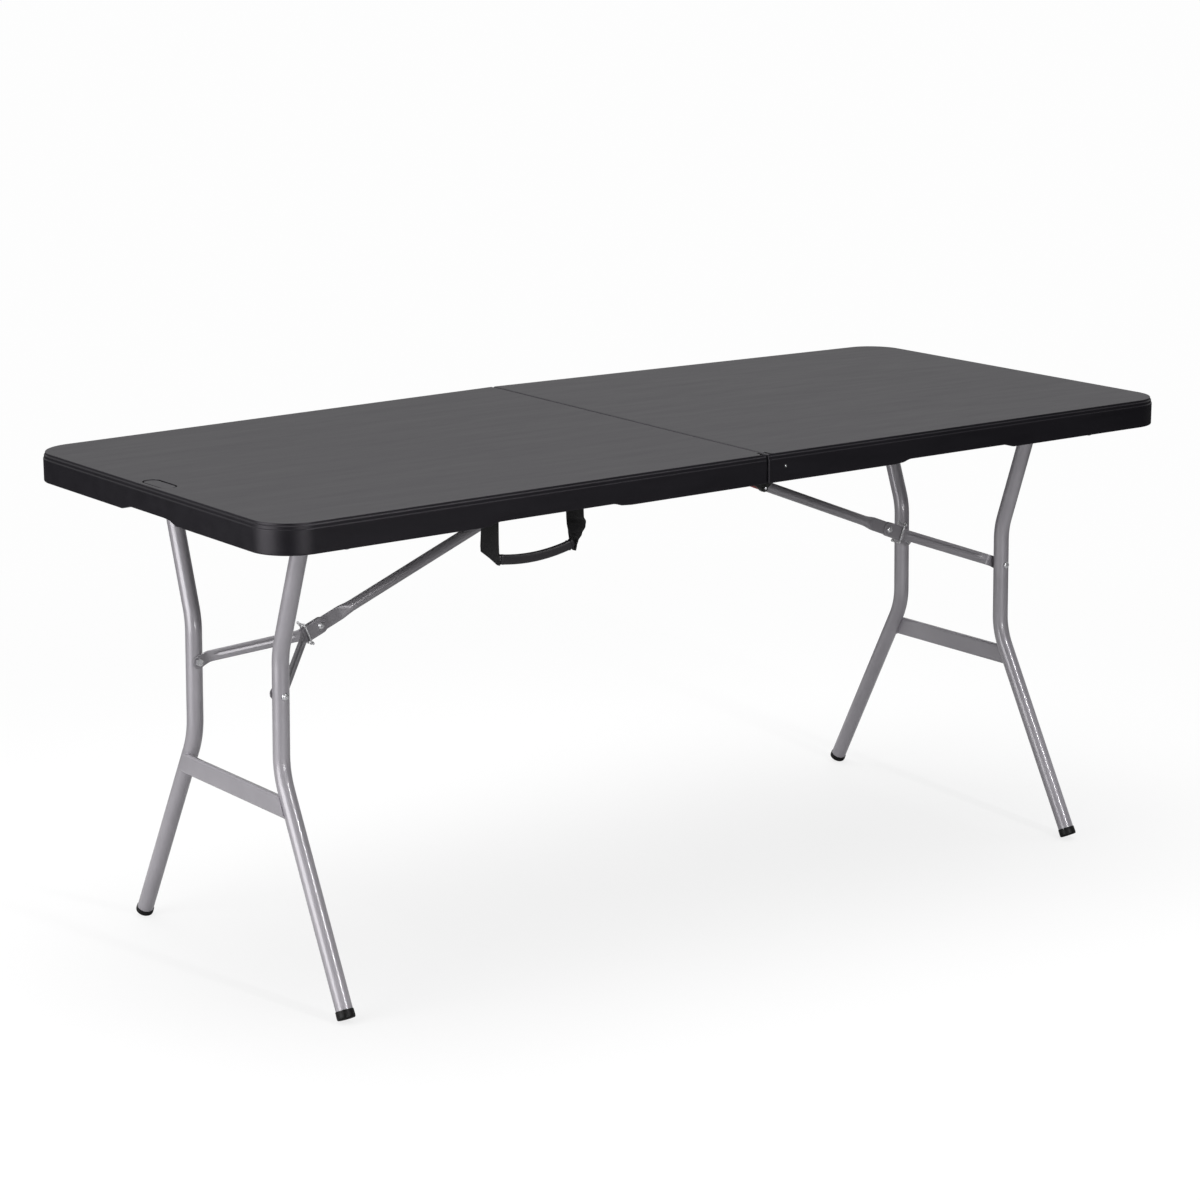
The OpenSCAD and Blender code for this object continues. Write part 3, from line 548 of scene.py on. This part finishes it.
def leg_path(side, front):
    k = (TOP_Y - WAIST_Y) / (RIM_Z - BEND_HIGH_Z)
    pts = [(WAIST_Y + (SOCKET_Z - BEND_HIGH_Z) * k, SOCKET_Z - RIM_Z), (WAIST_Y, BEND_HIGH_Z - RIM_Z),
           (WAIST_Y, BEND_LOW_Z - RIM_Z), (FOOT_Y - TUBE_END * SPREAD, TUBE_END - RIM_Z)]
    pts = [Vector((a * front, u, 0)) for a, u in pts]
    path = densify(bent(pts, 110, 2.5), 30)
    return [leg_point(side, p.x, p.y) for p in path]


def make_foot(name, side, front):
    """A rubber plug cut square to the tube; its height is longer at the front."""
    axis_top = leg_point(side, front * WAIST_Y, BEND_LOW_Z - RIM_Z)
    axis_low = leg_point(side, front * FOOT_Y, -RIM_Z)
    d = (axis_top - axis_low).normalized()
    u = d.cross(Vector((0, 1, 0))).normalized()
    v = d.cross(u)
    end = axis_low + d * 6.3
    height = 13 if front < 0 else 9
    lip = [(0, 12.45), (0, 13.0), (.2, 13.3), (.8, 13.5), (2.6, 13.5), (2.8, 13.3), (3.2, 13.3), (3.4, 13.5)]
    sole = [(4, 13.6), (2.2, 13.5), (1.1, 13.2), (.4, 12.6), (.08, 11.4), (0, 9.5)]
    rings = []
    for h, r in [(height - down, r) for down, r in lip] + sole:
        rings.append([end + d * h + (u * cos(a) + v * sin(a)) * r for a in turn(48)])
    return loft(name, rings)


def tube_y(up):
    """How far out the lower tube's axis is at this height, up from the rim's lower edge."""
    return WAIST_Y + (BEND_LOW_Z - RIM_Z - up) * SPREAD


def crossbar_profile():
    """Rounded flat bar: [out from the leg plane, up] round its section."""
    c, h, r = (5.2 + 14.8) / 2, 15.5, 4.2
    w = 4.8
    pts = []
    for sx, sy, base in ((1, 1, 0), (-1, 1, pi / 2), (-1, -1, pi), (1, -1, 3 * pi / 2)):
        for k in range(7):
            a = base + k * pi / 12
            pts.append((c + sx * (w - r) + r * cos(a), sy * (h - r) + r * sin(a)))
    return pts


def make_legs():
    for side, s in (("left", -1), ("right", 1)):
        body = side + "_leg"
        for face, f in (("front", -1), ("rear", 1)):
            path = leg_path(s, f)
            n = Vector((cos(LEAN), 0, s * sin(LEAN)))
            tube = loft("%s_%s_leg_tube" % (side, face), sweep_rings(path, TUBE_R, 44, n))
            paint(tube, M_LEG, body, "leg_enamel", "leg_%s_%s" % (side, face))
            foot = make_foot("%s_%s_foot_cap" % (side, face), s, f)
            paint(foot, M_RUBBER, body, "foot_rubber", "foot_%s_%s" % (side, face))
        rings = []
        up0 = BAR_Z - RIM_Z
        for k in range(13):
            t = -1 + 2 * k / 12
            rings.append([leg_point(s, t * (tube_y(up0 + h) - 3), up0 + h, o) for o, h in crossbar_profile()])
        bar = loft(side + "_flat_crossbar", rings)
        paint(bar, M_LEG, body, "leg_enamel", "crossbar_" + side)
        for face, f in (("front", -1), ("rear", 1)):
            for h in (12, -12):
                y = tube_y(up0 + h)
                clear = 2.2 if h > 0 else -2.2
                pts = []
                for k in range(9):
                    a = rad(16 + k * 7)
                    up = up0 + h + clear + (k % 2) * .5
                    pts.append(leg_point(s, f * (y - 12.9 * cos(a) * 1.13), up, 12.9 * sin(a)))
                weld = loft("%s_%s_weld_%s" % (side, face, "top" if h > 0 else "low"),
                            sweep_rings(pts, [1.2 + (k % 2) * .5 for k in range(9)], 12, (0, 0, 1)))
                paint(weld, M_LEG, body, "leg_enamel")
        head = [(5.6, 0), (5.6, .5), (5.3, 1.3), (4.5, 2.2), (3.2, 2.8), (1.5, 3.05), (1.5, 2.2), (0, 2.2)]
        for face, f in (("front", -1), ("rear", 1)):
            name = "%s_%s_leg_bolt" % (side, face)
            bolt = lathe(name, (s * ARM_X, f * 136.3, BOLT_Z), (0, f, 0), head, 40)
            shank = lathe(name + "_shank", (s * ARM_X, f * 111.6, BOLT_Z), (0, f, 0), [(3, 0), (3, 4)], 24)
            paint(bolt, M_ZINC, body, "zinc_fasteners", "arm_bolts_" + side)
            paint(shank, M_ZINC, body, "zinc_fasteners")


make_legs()


# ---------------------------------------------------------------- braces
LINK_X, LINK_Z = 12, 713
ARM_REACH = 153.7
BRACE = math.atan2(LINK_Z - BOLT_Z, ARM_X - LINK_X)
REACH = math.hypot(ARM_X - LINK_X, LINK_Z - BOLT_Z) - ARM_REACH
RING_AT = 26


def brace_point(side, s, y, t):
    """s runs down the locked brace from its upper pivot, t is across it, upwards."""
    x = LINK_X + s * cos(BRACE) + t * sin(BRACE)
    return Vector((side * x, y, LINK_Z - s * sin(BRACE) + t * cos(BRACE)))


def super_ring(a, b, n, count=44):
    out = []
    for k in range(count):
        w = 2 * pi * k / count
        c, s = cos(w), sin(w)
        out.append((a * math.copysign(abs(c) ** (2 / n), c), b * math.copysign(abs(s) ** (2 / n), s)))
    return out


def make_link(side, s):
    """The tube, flattened at both ends: place along it, half width, half height, squareness."""
    r = REACH
    upper_end = [(-8.5, 1.2, .6, 3), (-8.2, 1.5, 2.2, 4), (-7.4, 1.75, 4.2, 5), (-6, 1.8, 6, 6),
                 (-4, 1.8, 7.5, 7), (-1.5, 1.8, 8.36, 7), (0, 1.8, 8.5, 7), (12, 1.8, 8.5, 7),
                 (19, 1.9, 8.5, 6), (23, 2.8, 8.5, 4), (28, 5, 8.5, 2.8), (33, 7.3, 8.5, 2.2),
                 (38, 8.4, 8.5, 2), (44, 8.5, 8.5, 2)]
    lower_end = [(r - 64, 8.5, 8.5, 2), (r - 58, 8.4, 8.6, 2), (r - 53, 7.6, 8.9, 2.2),
                 (r - 48, 5.6, 9.6, 2.7), (r - 43, 3.2, 10.4, 4), (r - 39, 1.95, 10.9, 6),
                 (r - 35, 1.8, 11, 7), (r - 10, 1.8, 11, 8), (r + 14, 1.8, 11, 8), (r + 18, 1.8, 10.7, 8),
                 (r + 20.5, 1.8, 9.9, 7), (r + 22.4, 1.8, 8.6, 6), (r + 23.6, 1.7, 6.8, 5),
                 (r + 24, 1.4, 5.4, 4)]
    rings = []
    for st, a, b, n in upper_end + lower_end:
        rings.append([brace_point(s, st, y, t) for y, t in super_ring(a, b, n)])
    link = loft(side + "_brace_tube", rings, sharp=50)
    paint(link, M_BRACE, side + "_link", "brace_enamel", "link_" + side)


def arm_path():
    pts = [Vector((-12, 3.1, 0)), Vector((30, 3.1, 0)), Vector((135.7, 110.2, 0)), Vector((163.7, 110.2, 0))]
    return densify(bent(pts, 9, 8), 5)


def arm_height(s):
    """Half the arm's height: round at the knee, narrower along it, round at the bolt."""
    if s < 0:
        return math.sqrt(max(0.0, 144 - s * s))
    if s < 26:
        return 12.0
    if s < 35:
        return 12 - 3 * smooth_step((s - 26) / 9)
    if s < 144:
        return 9.0
    if s < ARM_REACH:
        return 9 + smooth_step((s - 144) / 9.7)
    return math.sqrt(max(0.0, 100 - (s - ARM_REACH) ** 2))


def make_arm(side, s, face, f):
    path = arm_path()
    fine = []
    for p, q in zip(path, path[1:]):
        fine.append(p)
        if p.x < -2 or q.x > 152:
            for k in range(1, 5):
                fine.append(p + (q - p) * (k / 5))
    fine.append(path[-1])
    rings = []
    for i, p in enumerate(fine):
        a, b = fine[max(i - 1, 0)], fine[min(i + 1, len(fine) - 1)]
        t = (b - a).normalized()
        out = Vector((-t.y, t.x, 0))
        along = p.x
        h = max(arm_height(along), 0.25)
        bead = smooth_step((along - 36) / 8) * (1 - smooth_step((along - 122) / 8)) * 2.6
        ring = []
        n = 16
        for k in range(n + 1):
            z = h * (-1 + 2 * k / n)
            edge = min(1.0, (h - abs(z)) / 0.5)
            lift = 1 - 0.45 * (1 - edge) + bead * math.exp(-((z - 1.6) / 1.9) ** 2)
            ring.append((p + out * lift, z))
        for k in range(n, -1, -1):
            z = h * (-1 + 2 * k / n)
            edge = min(1.0, (h - abs(z)) / 0.5)
            lift = -1 + 0.45 * (1 - edge) + bead * math.exp(-((z - 1.6) / 1.9) ** 2)
            ring.append((p + out * lift, z))
        rings.append([brace_point(s, REACH + q.x, f * q.y, z) for q, z in ring])
    arm = loft("%s_%s_brace_arm" % (side, face), rings, sharp=40)
    paint(arm, M_BRACE, side + "_arms", "brace_enamel", "arm_%s_%s" % (side, face))


def make_ring(side, s):
    r, w, h = 1.5, 8.1, 16.0
    pts = [(2.6, -h), (w, -h), (w, h), (-w, h), (-w, -h), (-2.6, -h)]
    path = densify(bent([Vector((y, z, 0)) for y, z in pts], 3.6, 15), 6)
    world = [brace_point(s, REACH + RING_AT, p.x, p.y) for p in path]
    n = brace_point(s, 1, 0, 0) - brace_point(s, 0, 0, 0)
    ring = loft(side + "_wire_ring", sweep_rings(world, r, 20, n))
    paint(ring, M_WIRE, side + "_ring", "zinc_wire", "lock_ring_" + side)
    for f in (-1, 1):
        for g in (-1, 1):
            if g > 0:
                centre, size = Vector((f * (w + .6), h + .8, 0)), 2.5
            else:
                centre, size = Vector((f * (w + 1.0), 1.4 - h, 0)), 1.7
            loop = [centre + Vector((cos(a), sin(a), 0)) * size for a in turn(20)]
            at = [brace_point(s, REACH + RING_AT + (1.2 if g > 0 else -1.2), q.x, q.y) for q in loop]
            hoops = []
            for k in range(20):
                out = (at[k] - sum(at, Vector()) / 20).normalized()
                hoops.append([at[k] + out * (1.15 * cos(c)) + n * (1.15 * sin(c)) for c in turn(12)])
            curl = loft("%s_ring_curl_%d_%d" % (side, f + 1, g + 1), hoops, closed=True)
            paint(curl, M_WIRE, side + "_ring", "zinc_wire")


def make_braces():
    rivet = [(5.5, 0), (5.5, .4), (5.2, 1.1), (4.4, 1.9), (3.0, 2.4), (1.9, 2.5), (1.6, 1.7), (0, 1.6)]
    for side, s in (("left", -1), ("right", 1)):
        make_link(side, s)
        for face, f in (("front", -1), ("rear", 1)):
            make_arm(side, s, face, f)
            k = brace_point(s, REACH, f * 4.1, 0)
            head = lathe("%s_%s_knee_rivet" % (side, face), k, (0, f, 0), rivet, 40)
            paint(head, M_ZINC, side + "_arms", "zinc_fasteners", "knee_rivet_" + side)
        make_ring(side, s)


def make_sleeve():
    profile = [(8.4, 0), (9.05, 0), (9.15, .6), (9.15, 73), (9.0, 74), (8.4, 74)]
    axis = brace_point(1, 1, 0, 0) - brace_point(1, 0, 0, 0)
    sleeve = lathe("right_red_sleeve", brace_point(1, 224, 0, 0), axis, profile, 44)
    paint(sleeve, M_RED, "right_link", "sleeve_plastic", "sleeve_right")


make_braces()
make_sleeve()


# ---------------------------------------------------------------- handle
# height, near edge (x, y), far edge (x, y) of each strap, from inside the rim down to the grip
OUTER_STRAP = [(703, -480, -352, -480, -310), (690, -480, -352, -480, -310),
               (672, -480, -352, -480.5, -309.5), (660, -480, -352.5, -481, -309),
               (652, -479.6, -352.5, -480.8, -309.5), (646, -479.2, -352.5, -480, -329),
               (639, -478.8, -352.5, -479, -347)]
INNER_STRAP = [(703, -334, -352, -334, -311), (690, -333.5, -352, -334, -311),
               (683, -330.2, -352.5, -335.2, -313), (676, -331.5, -353, -337.5, -317),
               (666, -337.5, -352.8, -341, -325), (656, -343.8, -352.3, -345.2, -333),
               (650, -346, -352.3, -347, -338), (643, -347.5, -352.3, -348, -344)]


def strap_mesh(name, table):
    """A flat strap that follows the table of its two edges, with soft rounded borders."""
    rows = []
    for a, b in zip(table, table[1:]):
        for k in range(6):
            t = smooth_step(k / 6) if abs(b[1] - a[1]) > 1 else k / 6
            rows.append([p + (q - p) * t for p, q in zip(a, b)])
            rows[-1][0] = a[0] + (b[0] - a[0]) * k / 6
    rows.append(list(table[-1]))
    rings = []
    m = 12
    for z, x0, y0, x1, y1 in rows:
        pts = [Vector((x0 + (x1 - x0) * k / m, y0 + (y1 - y0) * k / m, z)) for k in range(m + 1)]
        side = Vector((y1 - y0, x0 - x1, 0)).normalized()
        front = [p - side * (1.05 if 0 < k < m else .6) for k, p in enumerate(pts)]
        back = [p + side * (1.05 if 0 < k < m else .6) for k, p in enumerate(pts)]
        rings.append(front + list(reversed(back)))
    return loft(name, rings, sharp=60)


def make_handle():
    for name, table in (("outer_strap", OUTER_STRAP), ("inner_strap", INNER_STRAP)):
        o = strap_mesh("handle_" + name, table)
        o.data.materials.clear()
        o.data.materials.append(M_WEB)
        x = table[0][1] * MM
        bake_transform(o)
        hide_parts("webbing_stubs", "webbing_ends", "webbing_pins")
    low = (634.7 + 650.4) / 2
    path = []
    for k in range(41):
        t = k / 40
        x = -479.5 + t * 130.5
        if t < .4:
            z = low + (647.3 - low) * (1 - t / .4) ** 2
        else:
            z = low + (653.4 - low) * ((t - .4) / .6) ** 2
        path.append(Vector((x, -347.5, z)))
    rings = []
    for i, p in enumerate(path):
        a, b = path[max(i - 1, 0)], path[min(i + 1, 40)]
        t = (b - a).normalized()
        up = Vector((-t.z, 0, t.x))
        end = min(1.0, .72 + min(i, 40 - i) * .14)
        high = 7.0 - 0.6 * i / 40
        section = super_ring(4.7, high, 4.2, 40)
        rings.append([p + Vector((0, y * end, 0)) + up * (z * end) for y, z in section])
    grip = loft("handle_moulded_grip", rings)
    paint(grip, M_GRIP, "handle", "grip_plastic", "handle_grip")
    band_rings = ((-.9, (4.4, 6.4)), (-.7, (5.0, 7.2)), (.7, (5.0, 7.2)), (.9, (4.4, 6.4)))
    for i in (2, 38):
        a, b = path[i - 1], path[i + 1]
        t = (b - a).normalized()
        up = Vector((-t.z, 0, t.x))
        for k in (-1, 1):
            at = path[i] + t * (2.4 * k)
            band = [[at + t * w + Vector((0, y, 0)) + up * z for y, z in super_ring(*r, 4.2, 40)]
                    for w, r in band_rings]
            paint(loft("grip_band_%d_%d" % (i, k + 1), band), M_GRIP, "handle", "grip_plastic")


make_handle()


def make_hinge_ends():
    profile = [(1.9, -.4), (1.9, .2), (1.5, .55), (.8, .7), (0, .75)]
    for face, s in (("front", -1), ("rear", 1)):
        dot = lathe("hinge_rivet_end_" + face, (0, s * 351.4, 690), (0, s, 0), profile, 24)
        paint(dot, M_ZINC, "left_half", "zinc_fasteners")


make_hinge_ends()


# ---------------------------------------------------------------- CAD nodes that stay
def soften(obj, width):
    """Welds a CAD mesh and rounds its edges a little."""
    weld = obj.modifiers.new("weld", "WELD")
    weld.merge_threshold = 0.00001
    bevel = obj.modifiers.new("bevel", "BEVEL")
    bevel.width = width * MM
    bevel.segments = 2
    bevel.limit_method = "ANGLE"
    bevel.angle_limit = rad(50)
    bevel.harden_normals = False
    obj.modifiers.new("weighted", "WEIGHTED_NORMAL").keep_sharp = True


# start of the node's name, its material, the width of its edge rounding
CAD_LOOKS = [(("rail", "pivot_bracket", "link_bracket"), M_STEEL, 0.4), (("hinge",), M_BLACK, 0.5),
             (("leg", "pivot_tube", "crossbar"), M_LEG, 0.3),
             (("link_left", "link_right", "arm_left", "arm_right"), M_BRACE, 0.3),
             (("pivot_bushes",), M_BUSH, 0.4), (("foot",), M_RUBBER, 0.5), (("webbing",), M_WEB, 0.2),
             (("",), M_ZINC, 0.3)]


def dress_cad_nodes():
    for name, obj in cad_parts.items():
        if obj.hide_render:
            continue
        material, width = next((m, w) for starts, m, w in CAD_LOOKS if name.startswith(starts))
        obj.data.materials.clear()
        obj.data.materials.append(material)
        soften(obj, width)


dress_cad_nodes()


# ---------------------------------------------------------------- studio
def area_light(name, place, target, w, h, power):
    light = bpy.data.lights.new(name, "AREA")
    light.shape = "RECTANGLE"
    light.size, light.size_y = w, h
    light.energy = power
    obj = bpy.data.objects.new(name, light)
    bpy.context.scene.collection.objects.link(obj)
    obj.location = place
    obj.rotation_euler = (Vector(target) - Vector(place)).to_track_quat("-Z", "Y").to_euler()


def make_floor():
    """Pale paper that fades to white further out; the table itself sees it darker, through a painted pool of
    light: the floor's colour for the table is bright near it and falls to painted shade further out.
    """
    size = 30.0
    corners = [(-size, -size, 0), (size, -size, 0), (size, size, 0), (-size, size, 0)]
    mesh = bpy.data.meshes.new("floor")
    mesh.from_pydata(corners, [], [(0, 1, 2, 3)])
    floor = bpy.data.objects.new("floor", mesh)
    bpy.context.scene.collection.objects.link(floor)
    m = new_material("floor_paper", (0.93, 0.93, 0.93), 0.9, specular=0.0)
    seen = node(m, "ShaderNodeLightPath")
    where = node(m, "ShaderNodeTexCoord")
    away = node(m, "ShaderNodeVectorMath")
    away.operation = "LENGTH"
    join(m, where, "Object", away, 0)
    # painted pool of light: the floor's colour for all but camera rays, bright within 1.1 m of the centre and
    # painted shade beyond 2 m
    painted_light_pool, out = ramp(m, away, "Value", 1.1, 2.0, 0.42, 0.07)
    # takes the brighter of the painted light pool and the camera's paper colour
    tone = node(m, "ShaderNodeMath")
    tone.operation = "MAXIMUM"
    join(m, painted_light_pool, out, tone, 0)
    join(m, *ramp(m, seen, "Is Camera Ray", 0.0, 1.0, 0.0, 0.80), tone, 1)
    join(m, tone, "Value", shader(m), "Base Color")
    fade = node(m, "ShaderNodeMapRange")
    fade.interpolation_type = "SMOOTHSTEP"
    for key, value in (("From Min", 0.9), ("From Max", 2.6), ("To Min", 0.80), ("To Max", 1.0)):
        fade.inputs[key].default_value = value
    join(m, away, "Value", fade, "Value")
    share = node(m, "ShaderNodeMath")
    share.operation = "MULTIPLY"
    join(m, fade, "Result", share, 0)
    join(m, seen, "Is Camera Ray", share, 1)
    glow = node(m, "ShaderNodeEmission", Color=(0.985, 0.985, 0.985, 1))
    mix = node(m, "ShaderNodeMixShader")
    join(m, share, "Value", mix, 0)
    join(m, shader(m), "BSDF", mix, 1)
    join(m, glow, "Emission", mix, 2)
    join(m, mix, "Shader", m.node_tree.nodes["Material Output"], "Surface")
    mesh.materials.append(m)


def make_world():
    """White for the camera; for the light on the table, bright behind it and dim in front."""
    world = bpy.data.worlds.new("studio")
    bpy.context.scene.world = world
    world.use_nodes = True
    out = world.node_tree.nodes["World Output"]
    lit = world.node_tree.nodes["Background"]
    lit.inputs["Color"].default_value = (1, 1, 1, 1)
    where = node(world, "ShaderNodeTexCoord")
    dot = node(world, "ShaderNodeVectorMath")
    dot.operation = "DOT_PRODUCT"
    dot.inputs[1].default_value = Vector((0.35, 0.80, 0.48)).normalized()
    join(world, where, "Generated", dot, 0)
    level = node(world, "ShaderNodeMapRange")
    level.interpolation_type = "SMOOTHSTEP"
    for key, value in (("From Min", -0.5), ("From Max", 1.0), ("To Min", 0.012), ("To Max", 0.63)):
        level.inputs[key].default_value = value
    join(world, dot, "Value", level, "Value")
    join(world, level, "Result", lit, "Strength")
    white = node(world, "ShaderNodeBackground", Color=(1, 1, 1, 1), Strength=0.985)
    seen = node(world, "ShaderNodeLightPath")
    mix = node(world, "ShaderNodeMixShader")
    join(world, seen, "Is Camera Ray", mix, 0)
    join(world, lit, "Background", mix, 1)
    join(world, white, "Background", mix, 2)
    join(world, mix, "Shader", out, "Surface")


def make_studio():
    make_floor()
    make_world()
    area_light("overhead", (0.2, 0.3, 4.2), (0, 0, 0), 4.5, 3.5, 190)
    area_light("left_strip", (-2.65, -0.1, 0.95), (-0.7, -0.1, 0.5), 1.7, 1.9, 48)
    area_light("front_strip", (0.27, -3.73, 2.5), (0, 0, 0.5), 0.14, 0.9, 52)
    area_light("front_low", (-0.8, -3.6, 0.42), (0, 0, 0.5), 1.6, 0.45, 27)
    bpy.context.scene.view_settings.view_transform = "Standard"


make_studio()
